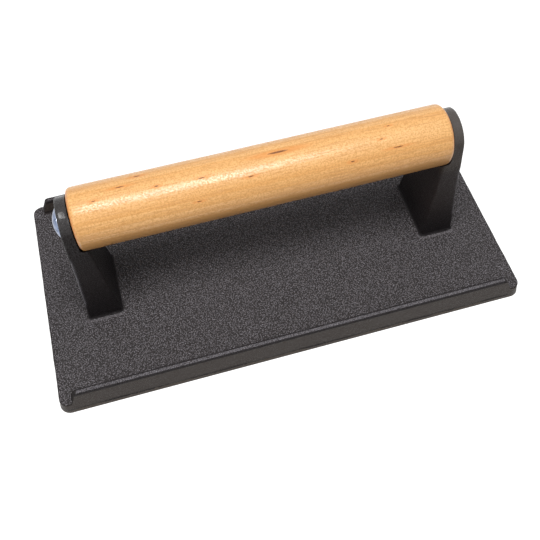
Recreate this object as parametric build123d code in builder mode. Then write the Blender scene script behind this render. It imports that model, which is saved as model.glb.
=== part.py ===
# Steak press: a flat cast iron plate with a round wooden handle carried between two cast uprights.
#
# Origin at the middle of the plate's underside, +X along the handle towards the nut,
# +Y towards the back edge, +Z up.  Millimetres.
import os
from math import radians, tan

from build123d import *

# Plate
plate_length = 210.0
plate_width = 108.0
plate_thickness = 6.0
plate_corner_radius = 4.8
plate_edge_radius = 0.7
side_draft = 8.0

# Ribs along the two long edges, their outer faces in line with the plate's edge
rib_height = 6.7
rib_top_width = 2.7
rib_inner_draft = 10.0
rib_end_draft = 22.0
rib_end_gap = 1.2
rib_edge_radius = 0.5
rib_root_radius = 1.2

# Wooden handle
handle_length = 156.0
handle_radius = 13.0
handle_end_radius = 2.0
handle_height = 58.7
handle_end_gap = 0.5
running_clearance = 0.05

# Uprights, cast in one with the plate
ear_radius = 10.5
ear_thickness = 4.8
upright_foot_width = 31.0
upright_foot_depth = 15.2
upright_outer_draft = 3.0
upright_inner_draft = 5.3
upright_edge_radius = 1.0
upright_root_radius = 2.2
seat_clearance = 0.3
seat_root_radius = 1.4

# Bolt and sleeve nut that carry the handle
bolt_radius = 3.0
bolt_tip_chamfer = 0.8
bolt_hole_clearance = 0.3
head_radius = 6.6
head_rim = 0.7
head_height = 3.2
head_seat_clearance = 0.5
head_seat_depth = 0.2
sleeve_radius = 4.2
sleeve_length = 15.0
sleeve_end_wall = 2.0
sleeve_mouth_chamfer = 0.5
sleeve_end_gap = 1.5
thread_engagement = 10.0
thread_clearance = 0.05

# Cross recess in both heads
recess_span = 6.0
recess_width = 1.4
recess_depth = 1.5
recess_draft = 12.0


def run(rise, draft):
    """How far a face with this draft leans over a rise."""
    return rise * tan(radians(draft))


# Places that several pieces share
rib_top = plate_thickness + rib_height
rib_half_length = plate_length / 2 - plate_corner_radius - rib_end_gap
rib_top_half_length = rib_half_length - run(rib_height, rib_end_draft)
rib_outer_top = plate_width / 2 - run(rib_top, side_draft)
rib_inner_top = rib_outer_top - rib_top_width
rib_inner_base = rib_inner_top - run(rib_height, rib_inner_draft)

handle_end = handle_length / 2
ear_inner = handle_end + handle_end_gap
ear_outer = ear_inner + ear_thickness
blank_top = handle_height + 2 * ear_radius
blank_height = blank_top - plate_thickness
upright_outer_foot = ear_outer + run(handle_height - plate_thickness, upright_outer_draft)
upright_inner_foot = upright_outer_foot - upright_foot_depth
seat_radius = handle_radius + seat_clearance

# Flat seats for the two heads, sunk into the drafted faces all the way round
spot_face_radius = head_radius + head_seat_clearance
head_seat = ear_outer - run(spot_face_radius, upright_outer_draft) - head_seat_depth
sleeve_mouth = head_seat - sleeve_length
bolt_length = head_seat + sleeve_mouth + thread_engagement


def across_handle(x, facing=1):
    """Plane square to the handle and centred on it, facing the nut end, or the head end with -1."""
    return Plane(origin=(x, 0, handle_height), x_dir=(0, 1, 0), z_dir=(facing, 0, 0))


# The core that shapes one seat, round like the handle's end and with its rounded edge
with BuildPart() as seat_core:
    with BuildSketch(across_handle(ear_inner)):
        Circle(seat_radius)
    extrude(amount=-upright_foot_depth)
    fillet(seat_core.edges().sort_by(Axis.X)[-1], radius=seat_root_radius)

# One upright, at the nut end: the front view is a foot and a round ear with tangent sides,
# and the side view gives it the drafts that let it leave the mould
with BuildPart() as upright:
    with BuildSketch(Plane.YZ.offset(ear_inner)):
        with BuildLine():
            ear = CenterArc((0, handle_height), ear_radius, 0, 360, mode=Mode.PRIVATE)
            side = ConstrainedLines(
                ear,
                (upright_foot_width / 2, plate_thickness),
                selector=lambda lines: lines.sort_by(Axis.X)[-1],
            )
            shoulder = side.vertices().sort_by(Axis.Y)[-1]
            ThreePointArc(
                (shoulder.X, shoulder.Y),
                (0, handle_height + ear_radius),
                (-shoulder.X, shoulder.Y),
            )
            mirror(side, about=Plane.YZ)
            Line((-upright_foot_width / 2, plate_thickness), (upright_foot_width / 2, plate_thickness))
        make_face()
    extrude(amount=upright_foot_depth, both=True)
    with BuildSketch(Plane.XZ):
        with BuildLine():
            Polyline(
                (upright_inner_foot, plate_thickness),
                (upright_inner_foot + run(blank_height, upright_inner_draft), blank_top),
                (upright_outer_foot - run(blank_height, upright_outer_draft), blank_top),
                (upright_outer_foot, plate_thickness),
                close=True,
            )
        make_face()
    extrude(amount=upright_foot_width, both=True, mode=Mode.INTERSECT)
    outline_edges = (
        upright.faces().sort_by(Axis.X)[0].edges() + upright.faces().sort_by(Axis.X)[-1].edges()
    )
    fillet(outline_edges.filter_by(Plane.XY, reverse=True), radius=upright_edge_radius)
    # Round seat for the end of the handle, down to the thin ear
    add(seat_core.part, mode=Mode.SUBTRACT)
    # Flat seat for the head on the drafted outer face
    with BuildSketch(across_handle(head_seat)):
        Circle(spot_face_radius)
    extrude(amount=upright_foot_depth, mode=Mode.SUBTRACT)

# One rib, along the front edge, its outer face in one plane with the plate's edge below it
with BuildPart() as rib:
    with BuildSketch(Plane.YZ):
        with BuildLine():
            Polyline(
                (-plate_width / 2, 0),
                (-rib_outer_top, rib_top),
                (-rib_inner_top, rib_top),
                (-rib_inner_base, plate_thickness),
                (-rib_inner_base, 0),
                close=True,
            )
        make_face()
    extrude(amount=rib_half_length, both=True)
    with BuildSketch(Plane.XZ):
        with BuildLine():
            Polyline(
                (0, 0),
                (rib_half_length, 0),
                (rib_half_length, plate_thickness),
                (rib_top_half_length, rib_top),
                (0, rib_top),
            )
            mirror(about=Plane.YZ)
        make_face()
    extrude(amount=plate_width, both=True, mode=Mode.INTERSECT)
    fillet(rib.faces().sort_by(Axis.Z)[-1].edges(), radius=rib_edge_radius)

# The casting: plate, ribs and both uprights in one piece of iron
with BuildPart() as cast_base:
    with BuildSketch():
        RectangleRounded(plate_length, plate_width, plate_corner_radius)
    extrude(amount=plate_thickness, taper=side_draft)
    fillet(cast_base.faces().sort_by(Axis.Z)[-1].edges(), radius=plate_edge_radius)
    with PolarLocations(0, 2):
        add(upright.part)
        add(rib.part)
    plate_top = cast_base.faces().filter_by(Plane.XY).sort_by(SortBy.AREA)[-2]
    foot_edges = ShapeList(edge for foot in plate_top.inner_wires() for edge in foot.edges())
    rib_roots = plate_top.outer_wire().edges().filter_by(Axis.X).sort_by(SortBy.LENGTH)[-2:]
    fillet(foot_edges, radius=upright_root_radius)
    fillet(rib_roots, radius=rib_root_radius)
    # Clearance holes for the sleeve at one end and the bolt at the other
    with BuildSketch(across_handle(0)):
        Circle(sleeve_radius + bolt_hole_clearance)
    extrude(amount=plate_length / 2, mode=Mode.SUBTRACT)
    with BuildSketch(across_handle(0, facing=-1)):
        Circle(bolt_radius + bolt_hole_clearance)
    extrude(amount=plate_length / 2, mode=Mode.SUBTRACT)

# The wooden handle, bored for the bolt and counterbored for the sleeve
with BuildPart() as wood_handle:
    with BuildSketch(across_handle(-handle_end)):
        Circle(handle_radius)
    extrude(amount=handle_length)
    fillet(wood_handle.edges().filter_by(GeomType.CIRCLE), radius=handle_end_radius)
    with Locations(across_handle(handle_end)):
        CounterBoreHole(
            radius=bolt_radius + running_clearance,
            counter_bore_radius=sleeve_radius + running_clearance,
            counter_bore_depth=handle_end - sleeve_mouth + sleeve_end_gap,
        )

# The low domed head with a cross recess that the bolt and the sleeve nut both have
with BuildPart() as low_head:
    with BuildSketch(Plane.XZ):
        with BuildLine():
            Polyline((0, head_height), (0, 0), (head_radius, 0), (head_radius, head_rim))
            TangentArc((0, head_height), (head_radius, head_rim), tangent=(1, 0))
        make_face()
    revolve(axis=Axis.Z)
    with BuildSketch(Plane.XY.offset(head_height)):
        Rectangle(recess_span, recess_width)
        Rectangle(recess_width, recess_span)
    extrude(amount=-recess_depth, taper=recess_draft, mode=Mode.SUBTRACT)

# The bolt, from its head at one ear to its tip inside the sleeve at the other
with BuildPart() as handle_bolt:
    with Locations(across_handle(-head_seat, facing=-1)):
        add(low_head.part)
    with BuildSketch(across_handle(-head_seat)):
        Circle(bolt_radius)
    extrude(amount=bolt_length)
    chamfer(handle_bolt.edges().sort_by(Axis.X)[-1], length=bolt_tip_chamfer)

# The sleeve nut, its barrel through the other ear and into the counterbore
with BuildPart() as sleeve_nut:
    with Locations(across_handle(head_seat)):
        add(low_head.part)
    with BuildSketch(across_handle(head_seat, facing=-1)):
        Circle(sleeve_radius)
    extrude(amount=sleeve_length)
    with BuildSketch(across_handle(sleeve_mouth)):
        Circle(bolt_radius + thread_clearance)
    extrude(amount=sleeve_length - sleeve_end_wall, mode=Mode.SUBTRACT)
    chamfer(sleeve_nut.edges().group_by(Axis.X)[0], length=sleeve_mouth_chamfer)

os.makedirs("parts", exist_ok=True)

cast_base.part.label = "cast_base"
export_step(cast_base.part, "parts/cast_base.step")

wood_handle.part.label = "wood_handle"
export_step(wood_handle.part, "parts/wood_handle.step")

handle_bolt.part.label = "handle_bolt"
export_step(handle_bolt.part, "parts/handle_bolt.step")

sleeve_nut.part.label = "sleeve_nut"
export_step(sleeve_nut.part, "parts/sleeve_nut.step")
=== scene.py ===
from math import atan2, cos, pi, radians, sin

import bpy
from mathutils import Matrix, Vector


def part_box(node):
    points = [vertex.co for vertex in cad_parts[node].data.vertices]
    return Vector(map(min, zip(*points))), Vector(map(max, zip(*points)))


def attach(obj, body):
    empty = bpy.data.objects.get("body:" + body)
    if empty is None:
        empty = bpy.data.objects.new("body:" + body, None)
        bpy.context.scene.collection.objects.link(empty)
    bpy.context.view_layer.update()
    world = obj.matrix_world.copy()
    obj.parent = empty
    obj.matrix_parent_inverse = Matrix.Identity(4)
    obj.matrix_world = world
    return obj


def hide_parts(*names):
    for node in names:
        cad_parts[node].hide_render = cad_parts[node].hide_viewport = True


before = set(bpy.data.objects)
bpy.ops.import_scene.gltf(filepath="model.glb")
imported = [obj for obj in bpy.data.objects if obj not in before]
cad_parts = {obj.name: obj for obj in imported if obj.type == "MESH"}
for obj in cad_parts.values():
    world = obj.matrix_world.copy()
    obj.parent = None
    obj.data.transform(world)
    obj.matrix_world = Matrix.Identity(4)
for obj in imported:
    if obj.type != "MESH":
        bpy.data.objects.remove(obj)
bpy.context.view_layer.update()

# The casting. Plate, ribs and both uprights are one piece of grey iron, poured in a sand mould
# that leaves a pebbled skin, a wavy edge and a low flash line, and then baked black with oil.
mm = 0.001
weld_distance = 0.001 * mm
even_face_depth = 9
even_face_scale = 0.9
face_share = 0.3
casting_smooth_angle = radians(50)

rib_reach = 45.0 * mm
rib_shoulder = Vector((96.29, 0.0, 12.7)) * mm
rib_end_draft = radians(22)
rib_end_radius = 2.5 * mm

ground_height = 0.4 * mm
handle_height = 58.7 * mm
seat_start = 70.0 * mm
seat_end = 78.6 * mm
seat_slope = 0.5
seat_reach = 15.0 * mm
seat_fade = 3.0 * mm

flash_height = 1.5 * mm
flash_step = 0.3 * mm
flash_draw = 0.08
flash_fade = 2.5 * mm
flash_wander = 0.3 * mm
flash_wander_length = 7.0 * mm
flash_waver = 0.2 * mm
flash_waver_length = 2.7 * mm
side_reach = Vector((98.0, 51.0)) * mm
side_slope = 0.8
lip_slope = 0.5
corner_start = Vector((95.0, 44.0)) * mm
corner_fade = 5.0 * mm

mould_wave_size = 9.0 * mm
mould_wave_depth = 0.22 * mm
sand_size = 2.2 * mm
sand_depth = 0.12 * mm

bpy.ops.object.select_all(action="DESELECT")
casting = bpy.data.objects.new("press_casting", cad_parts["cast_base"].data.copy())
bpy.context.scene.collection.objects.link(casting)
bpy.context.view_layer.objects.active = casting
casting.select_set(True)
bpy.ops.object.mode_set(mode="EDIT")
bpy.ops.mesh.select_all(action="SELECT")
bpy.ops.mesh.remove_doubles(threshold=weld_distance)
bpy.ops.object.mode_set(mode="OBJECT")


def finish_modifier(piece, kind, **settings):
    """Adds a modifier to the active piece with its settings and applies it."""
    modifier = piece.modifiers.new(kind.lower(), kind)
    for name, value in settings.items():
        setattr(modifier, name, value)
    bpy.ops.object.modifier_apply(modifier=modifier.name)


# Small, even faces all over, so that the skin can wave
finish_modifier(
    casting,
    "REMESH",
    mode="SHARP",
    octree_depth=even_face_depth,
    scale=even_face_scale,
    use_remove_disconnected=False,
)


def rounded_rib_end(place):
    """Where a point at the top corner of a rib's end goes when that corner is round."""
    width = rib_end_radius * (1 - sin(rib_end_draft)) / cos(rib_end_draft)
    middle = Vector((rib_shoulder.x - width, 0, rib_shoulder.z - rib_end_radius))
    out, up = abs(place.x) - middle.x, place.z - middle.z
    angle = atan2(up, out)
    if abs(place.y) < rib_reach or not rib_end_draft < angle < pi / 2:
        return place
    size = max(sin(angle), cos(angle - rib_end_draft))
    side = 1 if place.x > 0 else -1
    return Vector((side * (middle.x + out * size), place.y, middle.z + up * size))


for vertex in casting.data.vertices:
    vertex.co = rounded_rib_end(vertex.co)


def weigh(piece, name, rule):
    """A vertex group whose weight at each vertex comes from a rule on its place and normal."""
    group = piece.vertex_groups.new(name=name)
    for vertex in piece.data.vertices:
        group.add([vertex.index], rule(vertex.co, vertex.normal), "REPLACE")
    return name


def wave(piece, name, size, depth, group):
    """Sinks a piece's surface by up to a depth, in a smooth random pattern of this size."""
    pattern = bpy.data.textures.new(name, "CLOUDS")
    pattern.noise_scale = size
    pattern.noise_depth = 1
    finish_modifier(
        piece, "DISPLACE", texture=pattern, strength=depth, mid_level=1.0, vertex_group=group
    )


def ramp(value, start, length):
    """0 up to the start, rising to 1 over a length."""
    return min(1.0, max(0.0, (value - start) / length))


def above_flash(place, normal):
    """1 on the outer sides just above the flash line, which wanders, and next to 0 on the lip."""
    line = (
        flash_height
        + flash_wander * sin(place.x / flash_wander_length)
        + flash_waver * sin(place.x / flash_waver_length)
    )
    outer = abs(place.x) > side_reach.x or abs(place.y) > side_reach.y
    outward = normal.x * place.x + normal.y * place.y > 0
    if not (outer and outward and abs(normal.z) < side_slope):
        return 0.0
    above = place.z - line
    if above < 0 or abs(normal.z) > lip_slope:
        return flash_draw
    corner = ramp(abs(place.x), corner_start.x, corner_fade)
    corner *= ramp(abs(place.y), corner_start.y, corner_fade)
    return max(flash_draw, (1.0 - above / flash_fade) * (1.0 - corner))


def skin(place, normal):
    """1 on the outside as cast, 0 on the ground underside and where the handle and bolt fit."""
    if place.z < ground_height:
        return 0.0
    by_seat = abs(normal.x) > seat_slope or abs(place.x) < seat_end
    if abs(place.x) < seat_start or not by_seat:
        return 1.0
    away = Vector((0, place.y, place.z - handle_height)).length
    return ramp(away, seat_reach, seat_fade)


finish_modifier(
    casting,
    "DISPLACE",
    strength=-flash_step,
    mid_level=0.0,
    vertex_group=weigh(casting, "flash", above_flash),
)
wave(casting, "mould_wave", mould_wave_size, mould_wave_depth, weigh(casting, "skin", skin))
wave(casting, "sand", sand_size, sand_depth, "skin")
finish_modifier(casting, "DECIMATE", ratio=face_share)
bpy.ops.object.shade_smooth_by_angle(angle=casting_smooth_angle)
finish_modifier(casting, "WEIGHTED_NORMAL", keep_sharp=True)


def node(tree, kind, place, inputs=None, **settings):
    """A shader node at a place in the tree, with its settings and its inputs' values or links."""
    made = tree.nodes.new(kind)
    made.location = place
    for name, value in settings.items():
        setattr(made, name, value)
    for name, value in (inputs or {}).items():
        if isinstance(value, bpy.types.NodeSocket):
            tree.links.new(value, made.inputs[name])
        else:
            made.inputs[name].default_value = value
    return made


def calc(tree, place, operation, *values):
    """The result of a Math node."""
    inputs = dict(enumerate(values))
    return node(tree, "ShaderNodeMath", place, inputs, operation=operation).outputs[0]


def remap(tree, place, value, low, high, to_low=0.0, to_high=1.0):
    """A value mapped smoothly from one range to another."""
    inputs = {"Value": value, "From Min": low, "From Max": high}
    inputs.update({"To Min": to_low, "To Max": to_high})
    made = node(tree, "ShaderNodeMapRange", place, inputs, interpolation_type="SMOOTHSTEP")
    return made.outputs[0]


def blend(tree, place, share, first, second):
    """A mix of two colours."""
    inputs = {0: share, 6: first, 7: second}
    return node(tree, "ShaderNodeMix", place, inputs, data_type="RGBA").outputs[2]


def shift(tree, place, vector, move=(0, 0, 0), scale=(1, 1, 1)):
    """Places moved and scaled."""
    inputs = {"Vector": vector, "Location": move, "Scale": scale}
    return node(tree, "ShaderNodeMapping", place, inputs).outputs[0]


def new_group(name, inputs, outputs):
    """A shader node group with named inputs (kind, value) and outputs (kind)."""
    group = bpy.data.node_groups.new(name, "ShaderNodeTree")
    for label, (kind, value) in inputs.items():
        socket = group.interface.new_socket(label, in_out="INPUT", socket_type=kind)
        if value is not None:
            socket.default_value = value
    for label, kind in outputs.items():
        group.interface.new_socket(label, in_out="OUTPUT", socket_type=kind)
    given = node(group, "NodeGroupInput", (-1000, 0)).outputs
    return group, given, node(group, "NodeGroupOutput", (600, 0))


# Grain of a given size, which the iron, the lacquered wood and the plating all have
pebble_edges = (0.64, 0.08)
grain_group, given, result = new_group(
    "grain",
    {
        "Vector": ("NodeSocketVector", None),
        "Size": ("NodeSocketFloat", 0.001),
        "Roughness": ("NodeSocketFloat", 0.5),
    },
    {"Height": "NodeSocketFloat", "Pebbles": "NodeSocketFloat"},
)
rate = calc(grain_group, (-800, -200), "DIVIDE", 1.0, given["Size"])
clouds = node(
    grain_group,
    "ShaderNodeTexNoise",
    (-600, 0),
    {"Vector": given["Vector"], "Scale": rate, "Detail": 3.0, "Roughness": given["Roughness"]},
).outputs["Fac"]
grain_group.links.new(clouds, result.inputs["Height"])
cells = node(
    grain_group, "ShaderNodeTexVoronoi", (-600, -400), {"Vector": given["Vector"], "Scale": rate}
).outputs["Distance"]
pebbles = remap(grain_group, (-200, -400), cells, *pebble_edges)
grain_group.links.new(pebbles, result.inputs["Pebbles"])


def grain(tree, place, output, vector, size, roughness=0.5):
    """Grain of a size: the smooth height, or the rounded pebbles."""
    inputs = {"Vector": vector, "Size": size, "Roughness": roughness}
    return node(tree, "ShaderNodeGroup", place, inputs, node_tree=grain_group).outputs[output]


# Wear along edges, where handling rubs the finish thin; on the iron the pale edges are also partly
# a painted highlight
sharp_edges = (0.985, 0.88)
wear_group, given, result = new_group(
    "edge_wear",
    {"Width": ("NodeSocketFloat", 0.0006), "Break": ("NodeSocketFloat", 0.5)},
    {"Mask": "NodeSocketFloat"},
)
rounded = node(
    wear_group, "ShaderNodeBevel", (-800, 0), {"Radius": given["Width"]}, samples=4
).outputs[0]
plain = node(wear_group, "ShaderNodeNewGeometry", (-800, -200)).outputs["Normal"]
likeness = node(
    wear_group, "ShaderNodeVectorMath", (-600, 0), {0: rounded, 1: plain}, operation="DOT_PRODUCT"
).outputs["Value"]
edge = remap(wear_group, (-400, 0), likeness, *sharp_edges)
broken_edge = calc(wear_group, (-200, 0), "MULTIPLY", edge, given["Break"])
wear_group.links.new(broken_edge, result.inputs["Mask"])


def worn_edges(tree, place, width, strength):
    """A mask of the edges over this width, where the finish wears; on the iron it also places a
    painted highlight.
    """
    inputs = {"Width": width, "Break": strength}
    return node(tree, "ShaderNodeGroup", place, inputs, node_tree=wear_group).outputs["Mask"]


def new_material(name):
    """A material with nodes, and its tree, shader and object coordinates."""
    material = bpy.data.materials.new(name)
    material.use_nodes = True
    tree = material.node_tree
    shader = tree.nodes["Principled BSDF"]
    places = node(tree, "ShaderNodeTexCoord", (-2000, 0)).outputs["Object"]
    return material, tree, shader, places


def add_bump(tree, place, shader, height, depth, strength):
    """Gives a shader relief of a depth from a height."""
    inputs = {"Strength": strength, "Distance": depth, "Height": height}
    bump = node(tree, "ShaderNodeBump", place, inputs)
    tree.links.new(bump.outputs["Normal"], shader.inputs["Normal"])


# Pits and peaks of the pebbled skin: partly the iron's own mottle, partly painted shade in the
# pits and painted highlight on the peaks
hollow_colour = (0.022, 0.019, 0.019, 1.0)
peak_colour = (0.255, 0.235, 0.25, 1.0)
# A painted glint colour, also used for the painted highlights on the front rib's top, the fillets
# and the uprights' edges
painted_glint_colour = (0.46, 0.44, 0.49, 1.0)
# Painted shade for the creases, the ribs' rounded edges and the groove above the flash lip
painted_shade_colour = (0.010, 0.008, 0.008, 1.0)
side_colour = (0.039, 0.030, 0.025, 1.0)
lip_colour = (0.075, 0.062, 0.052, 1.0)
ground_colour = (0.085, 0.080, 0.080, 1.0)
# The uprights, painted far darker than the plate's sides as painted shade, the right one a little
# less, and darkest at their feet
upright_shade_colour = (0.009, 0.0065, 0.0065, 1.0)
right_upright_shade_colour = (0.018, 0.013, 0.012, 1.0)
foot_shade_colour = (0.005, 0.0035, 0.004, 1.0)

pebble_size = 0.68 * mm
fine_size = 0.4 * mm
mark_size = 0.5 * mm
mark_stretch = 0.04
glint_size = 0.5 * mm
scale_size = 1.3 * mm
relief_depth = 0.5 * mm
edge_width = 1.5 * mm
strip_middle = 50.95 * mm
strip_wander = 0.5 * mm
lip_wander = 1.2 * mm
pit_roughness = 0.55
peak_roughness = 0.34
crease_roughness = 0.95
iron_gloss = 0.2
ear_coat = 0.7
ear_coat_roughness = 0.24

# How much of each effect there is: in the relief, then in the colour
relief_strength = 1.0
upright_relief = 0.2
fine_relief = 0.5
scale_relief = 0.6
mark_relief = 0.6
# How much lighter the right ear is painted, as painted light
right_ear_light_share = 0.55
dust_share = 0.08
rib_highlight_share = 0.3
crease_share = 0.9
rim_share = 0.85
fillet_share = 0.7
fillet_pit_share = 0.3
worn_highlight_share = 0.85
upright_worn_highlight_share = 0.8
glint_grain = (0.62, 0.70)
dust_grain = (0.52, 0.66)
rib_highlight_grain = (0.4, 0.62)
mark_grain = (0.4, 0.65)
fillet_grain = (0.0, 0.7)

# Where one look gives way to the next, each from where its mask is 0 to where it is 1: heights,
# then distances from the middle of the plate, or of a rib's top for strip_edge, then slopes
plate_heights = (20.0 * mm, 14.0 * mm)
foot_heights = (34.0 * mm, 8.0 * mm)
ear_heights = (44.0 * mm, 52.0 * mm)
edge_heights = (5.0 * mm, 4.0 * mm)
above_edge_heights = (3.0 * mm, 4.5 * mm)
fillet_heights = (12.0 * mm, 9.0 * mm)
above_lip_heights = (1.9 * mm, 2.2 * mm)
under_line_heights = (3.0 * mm, 2.4 * mm)
rib_top_heights = (11.2 * mm, 11.6 * mm)
beside_uprights = (22.0 * mm, 24.0 * mm)
beyond_uprights = (90.0 * mm, 92.0 * mm)
outside_seats = (79.0 * mm, 81.0 * mm)
left_half = (0.0, -1.0 * mm)
front_half = (0.0, -10.0 * mm)
strip_end = (95.7 * mm, 96.2 * mm)
strip_edge = (0.75 * mm, 1.05 * mm)
sharp_level = (0.84, 0.95)
wide_level = (0.65, 0.92)
leaning = (0.2, 0.35)
sloping_up = (0.7, 0.88)
not_flat = (0.992, 0.97)
facing_front = (-0.05, -0.2)
facing_down = (-0.8, -0.95)
facing_up = (0.25, 0.7)

iron, tree, shader, places = new_material("seasoned_iron")
true_normal = node(tree, "ShaderNodeNewGeometry", (-2200, -300)).outputs["True Normal"]
facing = node(
    tree,
    "ShaderNodeVectorTransform",
    (-2000, -300),
    {"Vector": true_normal},
    vector_type="NORMAL",
    convert_from="WORLD",
    convert_to="OBJECT",
).outputs["Vector"]
facing = node(tree, "ShaderNodeSeparateXYZ", (-1800, -300), {0: facing}).outputs
up = facing["Z"]
spot = node(tree, "ShaderNodeSeparateXYZ", (-1800, -500), {0: places}).outputs
height = spot["Z"]
away = calc(tree, (-1600, -700), "ABSOLUTE", spot["Y"])
along = calc(tree, (-1400, -1900), "ABSOLUTE", spot["X"])
pebble = grain(tree, (-1600, 200), "Pebbles", places, pebble_size)
fine = grain(tree, (-1600, 0), "Height", places, fine_size, 0.6)
glints = grain(tree, (-1600, 1000), "Height", places, glint_size, 0.7)
scales = grain(tree, (-1600, 1200), "Pebbles", places, scale_size)
worn = worn_edges(tree, (-1600, 800), edge_width, 1.0)

# Where the surface is: on the plate below the uprights, beside them, on an ear, left or right
low = remap(tree, (-1600, -500), height, *plate_heights)
at_edge = remap(tree, (-1400, -800), height, *edge_heights)
beyond = remap(tree, (-1200, -800), along, *beyond_uprights)
beside = remap(tree, (-1400, -700), away, *beside_uprights)
beside = calc(tree, (-1200, -700), "MAXIMUM", beside, at_edge)
beside = calc(tree, (-1000, -700), "MAXIMUM", beside, beyond)
ear = remap(tree, (-1000, -500), height, *ear_heights)
left = remap(tree, (-1000, -600), spot["X"], *left_half)
left_ear = calc(tree, (-800, -600), "MULTIPLY", ear, left)
right_ear = calc(tree, (-800, -700), "SUBTRACT", ear, left_ear)

# What it is there: the pebbled level, the crease beside a rib, the fillet at an upright's foot,
# the lip under the flash line
level = remap(tree, (-1400, -300), up, *sharp_level)
by_upright = remap(tree, (-1400, -400), up, *wide_level)
pebbled = remap(tree, (-1200, -300), beside, 0.0, 1.0, by_upright, level)
pebbled = calc(tree, (-1000, -400), "MULTIPLY", pebbled, low)
tilted = remap(tree, (-1400, -100), up, *leaning)
tilted = calc(tree, (-1200, -100), "MULTIPLY", tilted, low)
above_edge = remap(tree, (-1000, 50), height, *above_edge_heights)
crease = calc(tree, (-1000, -100), "SUBTRACT", tilted, level)
crease = calc(tree, (-800, -100), "MULTIPLY", crease, above_edge)
curved = remap(tree, (-1200, 250), up, *not_flat)
at_foot = remap(tree, (-1000, 250), height, *fillet_heights)
fillet = remap(tree, (-1200, 100), up, *sloping_up)
fillet = calc(tree, (-1000, 150), "MULTIPLY", fillet, curved)
fillet = calc(tree, (-800, 150), "MULTIPLY", fillet, at_foot)
rise = calc(tree, (-1400, -900), "MULTIPLY_ADD", fine, lip_wander, height)
above_lip = remap(tree, (-1200, -900), rise, *above_lip_heights)
under_line = remap(tree, (-1200, -1100), rise, *under_line_heights)

# The narrow top of each rib between its two rounded edges, which get painted shade; the front
# rib's top gets a painted highlight further on
rib_top = remap(tree, (-1200, -1500), height, *rib_top_heights)
rib_top = calc(tree, (-1000, -1500), "MULTIPLY", rib_top, low)
rib_top = calc(tree, (-800, -1500), "MULTIPLY", rib_top, beside)
across = calc(tree, (-1200, -1700), "SUBTRACT", away, strip_middle)
across = calc(tree, (-1000, -1700), "ABSOLUTE", across)
across = calc(tree, (-800, -1700), "MULTIPLY_ADD", fine, strip_wander, across)
rim = remap(tree, (-600, -1700), across, *strip_edge)
rib_end = remap(tree, (-1000, -1900), along, *strip_end)
rim = calc(tree, (-400, -1700), "MAXIMUM", rim, rib_end)
rim = calc(tree, (-200, -1700), "MULTIPLY", rim, rib_top)

# The skin's relief: pebbles on the level, scales on the left ear, grinding marks underneath
ground = remap(tree, (-1200, -2100), up, *facing_down)
along_marks = shift(tree, (-1800, -2300), places, scale=(mark_stretch, 1, 1))
marks = grain(tree, (-1600, -2300), "Height", along_marks, mark_size, 0.6)
pebble_share = remap(tree, (-1000, 200), pebbled, 0.0, 1.0, upright_relief, 1.0)
tall = calc(tree, (-800, 200), "MULTIPLY", pebble, pebble_share)
scaly = calc(tree, (-800, 0), "MULTIPLY", scales, left_ear)
cut = calc(tree, (-1200, -2500), "MULTIPLY", marks, ground)
relief = calc(tree, (-800, 100), "MULTIPLY_ADD", fine, fine_relief, tall)
relief = calc(tree, (-600, 100), "MULTIPLY_ADD", scaly, scale_relief, relief)
relief = calc(tree, (-500, 100), "MULTIPLY_ADD", cut, mark_relief, relief)
add_bump(tree, (-400, -200), shader, relief, relief_depth, relief_strength)

# Its colour on the level, on the uprights, on the sides and underneath
glint = remap(tree, (-1200, 1000), glints, *glint_grain)
# Peaks painted lighter and pits darker, partly mottle and partly painted highlight and painted
# shade
top_tone = blend(tree, (-1000, 500), pebble, hollow_colour, peak_colour)
# Painted glints scattered over the pebbles
top_tone = blend(tree, (-900, 700), glint, top_tone, painted_glint_colour)
# The uprights painted dark as shade: the left darker than the right, both darker still towards
# their feet
foot_shade = remap(tree, (-1200, -1300), height, *foot_heights)
# The right ear painted lighter with the lip colour, as painted light
right_ear_painted_light = calc(tree, (-1100, -1400), "MULTIPLY", right_ear, right_ear_light_share)
upright_tone = blend(tree, (-1100, -1200), left, right_upright_shade_colour, upright_shade_colour)
upright_tone = blend(tree, (-1000, -1300), foot_shade, upright_tone, foot_shade_colour)
upright_tone = blend(tree, (-900, -1300), right_ear_painted_light, upright_tone, lip_colour)
# Painted shade in the groove just above the flash lip
line = calc(tree, (-1000, -1100), "MULTIPLY", above_lip, under_line)
dust = remap(tree, (-1000, -700), fine, *dust_grain, 0.0, dust_share)
side_tone = blend(tree, (-1000, -900), above_lip, lip_colour, side_colour)
side_tone = blend(tree, (-800, -900), line, side_tone, painted_shade_colour)
side_tone = blend(tree, (-600, -900), beside, upright_tone, side_tone)
side_tone = blend(tree, (-400, -900), dust, side_tone, peak_colour)
bare_marks = remap(tree, (-1400, -2300), marks, *mark_grain)
ground_tone = blend(tree, (-1200, -2300), bare_marks, side_colour, ground_colour)
skin_tone = blend(tree, (-700, 500), pebbled, side_tone, top_tone)
skin_tone = blend(tree, (-650, 500), ground, skin_tone, ground_tone)

# A painted highlight along the front rib's top, painted shade in the creases and on the ribs'
# rounded edges, a painted highlight on the uprights' fillets in front, and pale edges on the
# uprights, partly wear and partly a painted highlight
in_front = remap(tree, (-1200, 650), spot["Y"], *front_half)
rib_highlight_peaks = remap(tree, (-1000, 750), fine, *rib_highlight_grain, 0.0, rib_highlight_share)
rib_top_highlight = calc(tree, (-1000, 650), "MULTIPLY", rib_top, in_front)
rib_top_highlight = calc(tree, (-800, 650), "MULTIPLY", rib_top_highlight, rib_highlight_peaks)
skin_tone = blend(tree, (-600, 500), rib_top_highlight, skin_tone, painted_glint_colour)
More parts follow.
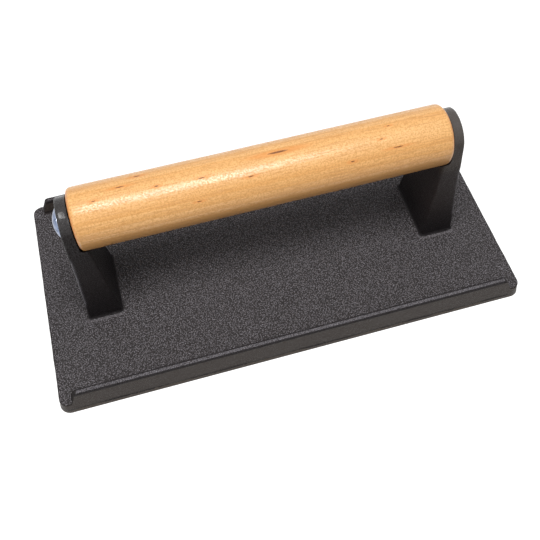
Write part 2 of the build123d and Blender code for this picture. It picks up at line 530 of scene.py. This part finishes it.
# Painted shade in the creases beside the ribs and on the ribs' rounded top edges
dark_crease = calc(tree, (-900, 900), "MULTIPLY", beside, crease_share)
dark_rim = calc(tree, (-700, 650), "MULTIPLY", rim, rim_share)
dark = calc(tree, (-700, 800), "MULTIPLY", crease, dark_crease)
dark = calc(tree, (-600, 800), "MAXIMUM", dark, dark_rim)
skin_tone = blend(tree, (-500, 500), dark, skin_tone, painted_shade_colour)
# Painted highlight on the uprights' fillets, on the side facing the front
between = remap(tree, (-1100, 1300), beside, 1.0, 0.0, 0.0, fillet_share)
to_front = remap(tree, (-1100, 1500), facing["Y"], *facing_front)
lit_peaks = remap(tree, (-900, 1500), pebble, *fillet_grain, fillet_pit_share, 1.0)
lit = calc(tree, (-900, 1300), "MULTIPLY", fillet, between)
lit = calc(tree, (-700, 1300), "MULTIPLY", lit, to_front)
lit = calc(tree, (-500, 1300), "MULTIPLY", lit, lit_peaks)
skin_tone = blend(tree, (-400, 700), lit, skin_tone, peak_colour)
# Pale edges on the uprights: partly wear, partly a painted highlight
above_plate = remap(tree, (-900, 1100), low, 1.0, 0.0, 0.0, worn_highlight_share)
below_ear = remap(tree, (-700, 1150), ear, 1.0, 0.0, 0.0, upright_worn_highlight_share)
outside = remap(tree, (-500, 1150), along, *outside_seats)
bright = calc(tree, (-700, 1000), "MULTIPLY", worn, above_plate)
bright = calc(tree, (-500, 1000), "MULTIPLY", bright, below_ear)
bright = calc(tree, (-300, 1000), "MULTIPLY", bright, outside)
skin_tone = blend(tree, (-300, 500), bright, skin_tone, painted_glint_colour)
tree.links.new(skin_tone, shader.inputs["Base Color"])

# Its gloss: peaks are smoother than pits, creases are dull, and oil shines on top of the ears
sheen = remap(tree, (-600, 300), pebble, 0.0, 1.0, pit_roughness, peak_roughness)
sheen = remap(tree, (-400, 300), dark, 0.0, 1.0, sheen, crease_roughness)
tree.links.new(sheen, shader.inputs["Roughness"])
oily = remap(tree, (-800, -500), up, *facing_up, 0.0, ear_coat)
oily = calc(tree, (-600, -500), "MULTIPLY", ear, oily)
tree.links.new(oily, shader.inputs["Coat Weight"])
shader.inputs["Coat Roughness"].default_value = ear_coat_roughness
shader.inputs["Specular IOR Level"].default_value = iron_gloss
casting.data.materials.clear()
casting.data.materials.append(iron)
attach(casting, "press")
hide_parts("cast_base")

# The handle. A dowel turned from pale, close-grained hardwood, with rounded ends, a bore for the
# bolt and a counterbore for the sleeve, under a clear lacquer that shows its flecks and pores.
handle_length = 156.0 * mm
handle_radius = 13.0 * mm
handle_end_radius = 2.0 * mm
handle_end = handle_length / 2
handle_sides = 128
end_steps = 6
turning_step = 4.0 * mm
bore_radius = 3.05 * mm
counterbore_radius = 4.25 * mm
sleeve_end_gap = 1.5 * mm
counterbore_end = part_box("sleeve_nut")[0][0] - sleeve_end_gap
handle_wave_size = 30.0 * mm
handle_wave_depth = 0.25 * mm
handle_smooth_angle = radians(40)


def turn(name, profile, sides):
    """A turned piece on the handle's axis: a ring extruded and scaled along (place, radius)."""
    along, radius = profile[0]
    bpy.ops.mesh.primitive_circle_add(
        vertices=sides,
        radius=radius,
        location=(along, 0, handle_height),
        rotation=(0, radians(90), 0),
    )
    piece = bpy.context.object
    piece.name = name
    bpy.ops.object.transform_apply(location=True, rotation=True, scale=True)
    bpy.ops.object.mode_set(mode="EDIT")
    bpy.ops.mesh.select_all(action="SELECT")
    for next_along, next_radius in profile[1:]:
        bpy.ops.mesh.extrude_region_move(
            TRANSFORM_OT_translate={"value": (next_along - along, 0, 0)}
        )
        size = next_radius / radius
        bpy.ops.transform.resize(
            value=(1, size, size), center_override=(next_along, 0, handle_height)
        )
        along, radius = next_along, next_radius
    bpy.ops.mesh.select_all(action="SELECT")
    bpy.ops.mesh.remove_doubles(threshold=weld_distance)
    bpy.ops.mesh.normals_make_consistent(inside=False)
    bpy.ops.object.mode_set(mode="OBJECT")
    return piece


def arc(along, radius, size, start, end, steps):
    """Places and radii along an arc of a turned profile, from one angle to another in degrees."""
    angles = [radians(start + (end - start) * step / steps) for step in range(steps + 1)]
    return [(along + size * sin(angle), radius + size * cos(angle)) for angle in angles]


straight = handle_end - handle_end_radius
rings = round(2 * straight / turning_step)
bpy.ops.object.select_all(action="DESELECT")
handle = turn(
    "handle",
    [(-straight + 2 * straight * ring / rings, handle_radius) for ring in range(rings)]
    + arc(straight, handle_radius - handle_end_radius, handle_end_radius, 0, 90, end_steps)
    + [(handle_end, counterbore_radius), (counterbore_end, counterbore_radius)]
    + [(counterbore_end, bore_radius), (-handle_end, bore_radius)]
    + arc(-straight, handle_radius - handle_end_radius, handle_end_radius, -90, 0, end_steps),
    handle_sides,
)


def turned_skin(place, normal):
    """1 on the handle's outside, 0 in its bores."""
    out = Vector((0, place.y, place.z - handle_height)).length
    return 1.0 if out > counterbore_radius * 2 else 0.0


wave(
    handle,
    "turning_wave",
    handle_wave_size,
    handle_wave_depth,
    weigh(handle, "outside", turned_skin),
)
bpy.ops.object.shade_smooth_by_angle(angle=handle_smooth_angle)

pale_wood = (0.86, 0.50, 0.20, 1.0)
golden_wood = (0.74, 0.37, 0.115, 1.0)
fibre_wood = (0.62, 0.315, 0.115, 1.0)
ruddy_wood = (0.55, 0.265, 0.083, 1.0)
fleck_wood = (0.15, 0.05, 0.014, 1.0)
stain_wood = (0.72, 0.28, 0.07, 1.0)
end_wood = (0.75, 0.27, 0.07, 1.0)

pith_offset = (0.0, 16.0 * mm, -38.0 * mm)
ring_spacing = 2.6 * mm
ring_stretch = 0.06
fibre_size = 0.5 * mm
fibre_stretch = 0.03
mottle_size = 0.7 * mm
patch_size = 5.0 * mm
pore_size = 0.45 * mm
pore_stretch = 0.22
fleck_edge_size = 0.6 * mm
fleck_edge_depth = 0.5 * mm
underside_shade_heights = (5.0 * mm, -3.0 * mm)
end_places = (handle_end - 1.4 * mm, handle_end - 0.3 * mm)
wood_relief_depth = 0.14 * mm
wood_relief_strength = 0.8
mottle_relief = 0.8
pore_relief = -0.8
fleck_relief = -1.0
wood_gloss = 0.2
dry_roughness = 0.42
smooth_roughness = 0.28
lacquer_weights = (0.15, 0.75)
lacquer_roughness = 0.22

# How strong each part of the figure is in the wood's colour, and the grain that it comes from
ring_share = 0.7
patch_share = 0.5
fibre_share = 0.6
mottle_share = 0.62
pore_share = 0.27
stain_share = 0.6
fleck_share = 0.9
underside_shade_share = 0.65
end_grain_share = 0.7
ring_tones = (0.1, 0.95)
patch_grain = (0.35, 0.7)
fibre_grain = (0.47, 0.64)
mottle_grain = (0.40, 0.57)
pore_grain = (0.7, 0.78)
dry_grain = (0.4, 0.6)
lacquered_grain = (0.42, 0.6)
fleck_edges = (1.0, 0.15)
stain_edges = (12.0, 0.5)

# A fleck: a short dark streak of bark or pith in the grain, at a place along and round the handle
fleck_group, given, result = new_group(
    "fleck",
    {
        "Vector": ("NodeSocketVector", None),
        "Along": ("NodeSocketFloat", 0.0),
        "Round": ("NodeSocketFloat", 0.0),
        "Length": ("NodeSocketFloat", 0.003),
        "Width": ("NodeSocketFloat", 0.0006),
    },
    {"Mask": "NodeSocketFloat", "Stain": "NodeSocketFloat"},
)
spot = node(fleck_group, "ShaderNodeSeparateXYZ", (-800, 0), {0: given["Vector"]}).outputs
to_front = calc(fleck_group, (-600, -100), "MULTIPLY", spot["Y"], -1.0)
angle = calc(fleck_group, (-400, -100), "ARCTAN2", to_front, spot["Z"])
away = calc(fleck_group, (-200, -100), "SUBTRACT", angle, given["Round"])
across = calc(fleck_group, (0, -100), "MULTIPLY", away, handle_radius)
ragged = grain(fleck_group, (-400, 300), "Height", given["Vector"], fleck_edge_size, 0.6)
ragged = calc(
    fleck_group, (-200, 300), "MULTIPLY_ADD", ragged, fleck_edge_depth, -fleck_edge_depth / 2
)
across = calc(fleck_group, (100, 0), "ADD", across, ragged)
along = calc(fleck_group, (-400, 100), "SUBTRACT", spot["X"], given["Along"])
length_share = calc(fleck_group, (200, 100), "DIVIDE", along, given["Length"])
width_share = calc(fleck_group, (200, -100), "DIVIDE", across, given["Width"])
squares = calc(fleck_group, (300, -200), "MULTIPLY", width_share, width_share)
reach = calc(fleck_group, (400, 0), "MULTIPLY_ADD", length_share, length_share, squares)
mask = remap(fleck_group, (500, 100), reach, *fleck_edges)
stain = remap(fleck_group, (500, -100), reach, *stain_edges)
fleck_group.links.new(mask, result.inputs["Mask"])
fleck_group.links.new(stain, result.inputs["Stain"])

# Each fleck's place along the handle, its angle from the top towards the front, and half its
# length and half its width, in millimetres and degrees
flecks = (
    (6.0, 0.5, 5.0, 0.6),
    (-49.6, -20.0, 1.6, 0.4),
    (-56.9, -2.0, 2.2, 0.3),
    (-43.1, 13.0, 1.0, 0.3),
    (-25.6, 17.0, 1.8, 0.25),
    (-6.8, 34.0, 1.4, 0.3),
    (-28.5, 56.0, 1.2, 0.25),
    (-67.6, 14.0, 1.0, 0.25),
    (34.2, 49.0, 1.0, 0.3),
    (53.6, 42.0, 2.6, 0.25),
    (47.6, 22.0, 0.9, 0.25),
    (52.1, -1.0, 0.8, 0.25),
)

wood, tree, shader, places = new_material("lacquered_wood")
centred = shift(tree, (-1800, 0), places, move=(0, 0, -handle_height))
round_pith = shift(tree, (-1600, 300), centred, pith_offset, (ring_stretch, 1, 1))
along_grain = shift(tree, (-1600, 0), centred, scale=(fibre_stretch, 1, 1))
along_pore = shift(tree, (-1600, -600), centred, scale=(pore_stretch, 1, 1))
growth = node(
    tree,
    "ShaderNodeTexWave",
    (-1400, 300),
    {
        "Vector": round_pith,
        "Scale": pi / 10 / ring_spacing,
        "Distortion": 4.0,
        "Detail": 2.0,
        "Detail Scale": 0.25,
    },
    wave_type="RINGS",
    rings_direction="X",
    wave_profile="SAW",
).outputs["Fac"]
fibre = grain(tree, (-1400, 0), "Height", along_grain, fibre_size, 0.6)
mottle = grain(tree, (-1400, -200), "Height", centred, mottle_size, 0.7)
patches = grain(tree, (-1400, -400), "Height", along_grain, patch_size, 0.4)
pores = grain(tree, (-1400, -600), "Height", along_pore, pore_size)
pore = remap(tree, (-1200, -600), pores, *pore_grain)
marks = stains = 0.0
for index, (fleck_along, fleck_round, half_length, half_width) in enumerate(flecks):
    row = -700 - 200 * index
    inputs = {
        "Vector": centred,
        "Along": fleck_along * mm,
        "Round": radians(fleck_round),
        "Length": half_length * mm,
        "Width": half_width * mm,
    }
    fleck = node(tree, "ShaderNodeGroup", (-600, row), inputs, node_tree=fleck_group).outputs
    marks = calc(tree, (-400, row), "MAXIMUM", fleck["Mask"], marks)
    stains = calc(tree, (-400, row - 100), "MAXIMUM", fleck["Stain"], stains)

# Its colour: growth rings, patches, fibres, mottle and pores, then the flecks, painted shade
# towards the underside and the bare grain at both ends
late_growth = remap(tree, (-1200, 200), growth, *ring_tones, 0.0, ring_share)
golden = remap(tree, (-1200, -400), patches, *patch_grain, 0.0, patch_share)
fibrous = remap(tree, (-1200, 0), fibre, *fibre_grain, 0.0, fibre_share)
mottled = remap(tree, (-1200, -200), mottle, *mottle_grain, mottle_share, 0.0)
porous = calc(tree, (-500, -500), "MULTIPLY", pore, pore_share)
stained = calc(tree, (-300, -800), "MULTIPLY", stains, stain_share)
flecked = calc(tree, (-200, -700), "MULTIPLY", marks, fleck_share)
spot = node(tree, "ShaderNodeSeparateXYZ", (-600, 600), {0: centred}).outputs
# Painted shade towards the handle's underside, darker and redder
underside_shade = remap(tree, (-400, 800), spot["Z"], *underside_shade_heights, 0.0, underside_shade_share)
far = calc(tree, (-400, 600), "ABSOLUTE", spot["X"])
end_grain = remap(tree, (-200, 600), far, *end_places, 0.0, end_grain_share)
tone = blend(tree, (-1100, 300), late_growth, pale_wood, golden_wood)
tone = blend(tree, (-900, 300), golden, tone, golden_wood)
tone = blend(tree, (-700, 300), fibrous, tone, fibre_wood)
tone = blend(tree, (-500, 300), mottled, tone, ruddy_wood)
tone = blend(tree, (-300, 300), porous, tone, fleck_wood)
tone = blend(tree, (-200, 300), stained, tone, stain_wood)
tone = blend(tree, (-100, 300), flecked, tone, fleck_wood)
tone = blend(tree, (-200, 800), underside_shade, tone, ruddy_wood)
tone = blend(tree, (-100, 500), end_grain, tone, end_wood)
tree.links.new(tone, shader.inputs["Base Color"])

# Its relief, and the lacquer, which has sunk into the soft mottle
relief = calc(tree, (-900, -200), "MULTIPLY_ADD", mottle, mottle_relief, fibre)
relief = calc(tree, (-700, -200), "MULTIPLY_ADD", pore, pore_relief, relief)
relief = calc(tree, (-500, -200), "MULTIPLY_ADD", marks, fleck_relief, relief)
add_bump(tree, (-300, -200), shader, relief, wood_relief_depth, wood_relief_strength)
sheen = remap(tree, (-300, 0), mottle, *dry_grain, dry_roughness, smooth_roughness)
lacquer = remap(tree, (-300, -500), mottle, *lacquered_grain, *lacquer_weights)
tree.links.new(sheen, shader.inputs["Roughness"])
tree.links.new(lacquer, shader.inputs["Coat Weight"])
shader.inputs["Coat Roughness"].default_value = lacquer_roughness
shader.inputs["Specular IOR Level"].default_value = wood_gloss
handle.data.materials.append(wood)
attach(handle, "handle")
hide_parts("wood_handle")

# The bolt. Steel in blue-bright zinc plate, with a low domed head and a cross recess; it runs from
# the left ear through the whole handle and is threaded where the sleeve takes it.
head_radius = 6.6 * mm
head_rim = 0.7 * mm
head_height = 3.2 * mm
dome_steps = 14
bolt_radius = 3.0 * mm
bolt_tip_chamfer = 0.8 * mm
fastener_sides = 64
fastener_smooth_angle = radians(35)
smallest_ring = 0.02 * mm
thread_pitch = 1.0 * mm
thread_depth = 0.45 * mm
thread_length = 14.0 * mm
rings_per_turn = 8
crest_tolerance = 0.01 * mm
recess_span = 6.0 * mm
recess_width = 1.4 * mm
recess_depth = 1.5 * mm
recess_tip = 0.7


def head_profile(top, seat, facing):
    """A domed head's profile from its middle to its seat."""
    rim = seat + facing * head_rim
    rise = abs(top - rim)
    radius = (head_radius**2 + rise**2) / (2 * rise)
    dome = []
    for step in range(dome_steps + 1):
        out = max(head_radius * step / dome_steps, smallest_ring)
        drop = radius - (radius**2 - out**2) ** 0.5
        dome.append((top - facing * drop, out))
    return dome + [(seat, head_radius)]


def thread(piece, start, end, crest, way):
    """Cuts a thread into a turned piece: inwards on a bolt, outwards in a nut."""
    for vertex in piece.data.vertices:
        away = Vector((0, vertex.co.y, vertex.co.z - handle_height))
        if start < vertex.co.x < end and abs(away.length - crest) < crest_tolerance:
            turn_share = Vector((0, 1)).angle_signed(Vector((away.y, away.z))) / (2 * pi)
            depth = abs(((vertex.co.x / thread_pitch - turn_share) % 1.0) * 2 - 1)
            run_in = (vertex.co.x - start) / thread_pitch
            run_out = (end - vertex.co.x) / thread_pitch
            depth *= way * thread_depth * min(1.0, run_in, run_out)
            vertex.co += away.normalized() * depth


def close_tips(piece):
    """Closes the smallest rings at both ends of a turned piece."""
    bpy.ops.object.mode_set(mode="EDIT")
    bpy.ops.mesh.select_all(action="SELECT")
    bpy.ops.mesh.fill_holes(sides=fastener_sides)
    bpy.ops.mesh.normals_make_consistent(inside=False)
    bpy.ops.object.mode_set(mode="OBJECT")


def cross_recess(piece, top, facing):
    """Cuts the two tapered slots of a cross recess into a head."""
    for width, height in ((recess_span, recess_width), (recess_width, recess_span)):
        bpy.ops.object.select_all(action="DESELECT")
        bpy.ops.mesh.primitive_cube_add(size=1, location=(top, 0, handle_height))
        cutter = bpy.context.object
        cutter.scale = (2 * recess_depth, width, height)
        bpy.ops.object.transform_apply(location=True, rotation=True, scale=True)
        bpy.ops.object.mode_set(mode="EDIT")
        bpy.ops.mesh.select_all(action="DESELECT")
        bpy.ops.object.mode_set(mode="OBJECT")
        for face in cutter.data.polygons:
            face.select = face.normal.x * facing < -0.5
        bpy.ops.object.mode_set(mode="EDIT")
        bpy.ops.transform.resize(value=(1, recess_tip, recess_tip))
        bpy.ops.object.mode_set(mode="OBJECT")
        bpy.ops.object.select_all(action="DESELECT")
        bpy.context.view_layer.objects.active = piece
        piece.select_set(True)
        finish_modifier(piece, "BOOLEAN", operation="DIFFERENCE", solver="EXACT", object=cutter)
        bpy.data.objects.remove(cutter)


bolt_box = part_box("handle_bolt")
bolt_top, bolt_tip = bolt_box[0][0], bolt_box[1][0]
bolt_seat = bolt_top + head_height
cut_length = thread_length - bolt_tip_chamfer
thread_rings = round(cut_length / thread_pitch * rings_per_turn)
thread_start = bolt_tip - thread_length
bpy.ops.object.select_all(action="DESELECT")
bolt = turn(
    "bolt",
    head_profile(bolt_top, bolt_seat, -1)
    + [(bolt_seat, bolt_radius), (thread_start, bolt_radius)]
    + [
        (thread_start + cut_length * (ring + 1) / thread_rings, bolt_radius)
        for ring in range(thread_rings)
    ]
    + [(bolt_tip, bolt_radius - bolt_tip_chamfer), (bolt_tip, smallest_ring)],
    fastener_sides,
)
thread(bolt, thread_start, bolt_tip - bolt_tip_chamfer, bolt_radius, -1)
close_tips(bolt)
cross_recess(bolt, bolt_top, -1)
bpy.ops.object.shade_smooth_by_angle(angle=fastener_smooth_angle)

zinc_colour = (0.21, 0.26, 0.39, 1.0)
zinc_dull_colour = (0.095, 0.13, 0.21, 1.0)
zinc_worn_colour = (0.75, 0.78, 0.85, 1.0)
spangle_size = 1.2 * mm
plating_size = 0.25 * mm
plating_depth = 0.03 * mm
plating_strength = 0.3
plating_wear_width = 0.3 * mm
plating_wear = 0.9
dull_grain = (0.4, 0.65)
gloss_grain = (0.35, 0.7)
zinc_roughness = (0.22, 0.36)

zinc, tree, shader, places = new_material("zinc_plate")
spangle = grain(tree, (-1400, 0), "Height", places, spangle_size, 0.6)
plating = grain(tree, (-1400, -200), "Height", places, plating_size, 0.6)
worn = worn_edges(tree, (-1400, 200), plating_wear_width, plating_wear)
dull = remap(tree, (-1200, 0), spangle, *dull_grain)
tone = blend(tree, (-1000, 200), dull, zinc_colour, zinc_dull_colour)
tone = blend(tree, (-700, 200), worn, tone, zinc_worn_colour)
sheen = remap(tree, (-700, 0), spangle, *gloss_grain, *zinc_roughness)
tree.links.new(tone, shader.inputs["Base Color"])
tree.links.new(sheen, shader.inputs["Roughness"])
add_bump(tree, (-400, -200), shader, plating, plating_depth, plating_strength)
shader.inputs["Metallic"].default_value = 1.0
bolt.data.materials.append(zinc)
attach(bolt, "press")
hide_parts("handle_bolt")

# The sleeve nut. A blind barrel threaded inside, with the same head and the same plating; it goes
# through the right ear into the counterbore and draws the bolt tight.
sleeve_radius = 4.2 * mm
sleeve_end_wall = 2.0 * mm
sleeve_mouth_chamfer = 0.5 * mm
sleeve_bore_radius = 3.05 * mm
sleeve_mouth_radius = sleeve_bore_radius + 0.1 * mm

nut_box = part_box("sleeve_nut")
sleeve_mouth, nut_top = nut_box[0][0], nut_box[1][0]
nut_seat = nut_top - head_height
bore_end = nut_seat - sleeve_end_wall
bore_start = sleeve_mouth + sleeve_mouth_chamfer
bore_rings = round((bore_end - bore_start) / thread_pitch * rings_per_turn)
bpy.ops.object.select_all(action="DESELECT")
nut = turn(
    "nut",
    head_profile(nut_top, nut_seat, 1)
    + [(nut_seat, sleeve_radius), (bore_start, sleeve_radius)]
    + [(sleeve_mouth, sleeve_radius - sleeve_mouth_chamfer), (sleeve_mouth, sleeve_mouth_radius)]
    + [
        (bore_start + (bore_end - bore_start) * ring / bore_rings, sleeve_bore_radius)
        for ring in range(bore_rings + 1)
    ]
    + [(bore_end, smallest_ring)],
    fastener_sides,
)
thread(nut, bore_start, bore_end, sleeve_bore_radius, 1)
close_tips(nut)
cross_recess(nut, nut_top, 1)
bpy.ops.object.shade_smooth_by_angle(angle=fastener_smooth_angle)
nut.data.materials.append(zinc)
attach(nut, "press")
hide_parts("sleeve_nut")

# The studio. White paper underneath and pale walls all round, which the camera and anything glossy
# see as plain white, a large soft lamp overhead and a weak one at the left.
floor_reach = 3.0
floor_drop = 0.05 * mm
paper_colour = (0.5, 0.5, 0.5, 1.0)
paper_glow = 0.7
wall_light = 0.06
ceiling_light = 0.5


def seen_white(tree):
    """1 for the rays that see the studio as plain white: to the camera, or from gloss or glass."""
    ray = node(tree, "ShaderNodeLightPath", (-900, 0)).outputs
    seen = calc(tree, (-700, 0), "MAXIMUM", ray["Is Camera Ray"], ray["Is Transmission Ray"])
    return calc(tree, (-600, 0), "MAXIMUM", seen, ray["Is Glossy Ray"])


bpy.ops.mesh.primitive_plane_add(size=2 * floor_reach, location=(0, 0, -floor_drop))
floor = bpy.context.object
floor.name = "studio_floor"
paper = bpy.data.materials.new("studio_paper")
paper.use_nodes = True
tree = paper.node_tree
tree.nodes.remove(tree.nodes["Principled BSDF"])
glow_strength = calc(tree, (-600, -200), "MULTIPLY", seen_white(tree), paper_glow)
matte = node(tree, "ShaderNodeBsdfDiffuse", (-400, 0), {"Color": paper_colour}).outputs[0]
glow = node(tree, "ShaderNodeEmission", (-400, -200), {"Strength": glow_strength}).outputs[0]
lit_paper = node(tree, "ShaderNodeAddShader", (-200, 0), {0: matte, 1: glow}).outputs[0]
behind = node(tree, "ShaderNodeNewGeometry", (-200, 200)).outputs["Backfacing"]
clear = node(tree, "ShaderNodeBsdfTransparent", (-200, -200)).outputs[0]
one_way = node(tree, "ShaderNodeMixShader", (0, 0), {0: behind, 1: lit_paper, 2: clear})
tree.links.new(one_way.outputs[0], tree.nodes["Material Output"].inputs["Surface"])
floor.data.materials.append(paper)

world = bpy.data.worlds.new("studio_world")
bpy.context.scene.world = world
world.use_nodes = True
tree = world.node_tree
seen = seen_white(tree)
aim_up = node(tree, "ShaderNodeTexCoord", (-1100, -300)).outputs["Generated"]
rise = node(tree, "ShaderNodeSeparateXYZ", (-900, -300), {0: aim_up}).outputs["Z"]
light = remap(tree, (-700, -300), rise, 0.0, 1.0, wall_light, ceiling_light)
unseen = calc(tree, (-500, -100), "SUBTRACT", 1.0, seen)
strength = calc(tree, (-300, 0), "MULTIPLY_ADD", unseen, light, seen)
sky = tree.nodes["Background"]
sky.inputs["Color"].default_value = (1, 1, 1, 1)
tree.links.new(strength, sky.inputs["Strength"])


def soft_lamp(name, place, size, power):
    """A rectangular soft lamp at a place, turned towards the press."""
    data = bpy.data.lights.new(name, "AREA")
    data.shape = "RECTANGLE"
    data.size, data.size_y = size
    data.energy = power
    lamp = bpy.data.objects.new(name, data)
    bpy.context.scene.collection.objects.link(lamp)
    lamp.location = place
    lamp.rotation_euler = Vector(place).to_track_quat("Z", "Y").to_euler()


soft_lamp("overhead_lamp", place=(-0.02, -0.14, 0.82), size=(0.38, 0.27), power=5.5)
soft_lamp("left_lamp", place=(-0.45, -0.3, 0.42), size=(0.3, 0.3), power=0.6)

# The camera. It stands in front, above and a little to the left, as in the photograph, and is
# turned a little about its own line of sight.
camera_turn = radians(-13.663)
camera_height = radians(59.077)
camera_roll = radians(-2.264)
camera_distance = 341.02 * mm
camera_target = Vector((-1.323, -9.689, 0.0)) * mm

camera_data = bpy.data.cameras.new("photo_camera")
camera_data.sensor_width = 36.0
camera_data.lens = 48.395
camera_data.clip_start = 0.01
camera = bpy.data.objects.new("photo_camera", camera_data)
bpy.context.scene.collection.objects.link(camera)
bpy.context.scene.camera = camera
aim = (
    Matrix.Rotation(camera_turn, 4, "Z")
    @ Matrix.Rotation(radians(90) - camera_height, 4, "X")
    @ Matrix.Rotation(camera_roll, 4, "Z")
)
camera.matrix_world = (
    Matrix.Translation(camera_target) @ aim @ Matrix.Translation((0, 0, camera_distance))
)
bpy.context.scene.view_settings.view_transform = "Standard"
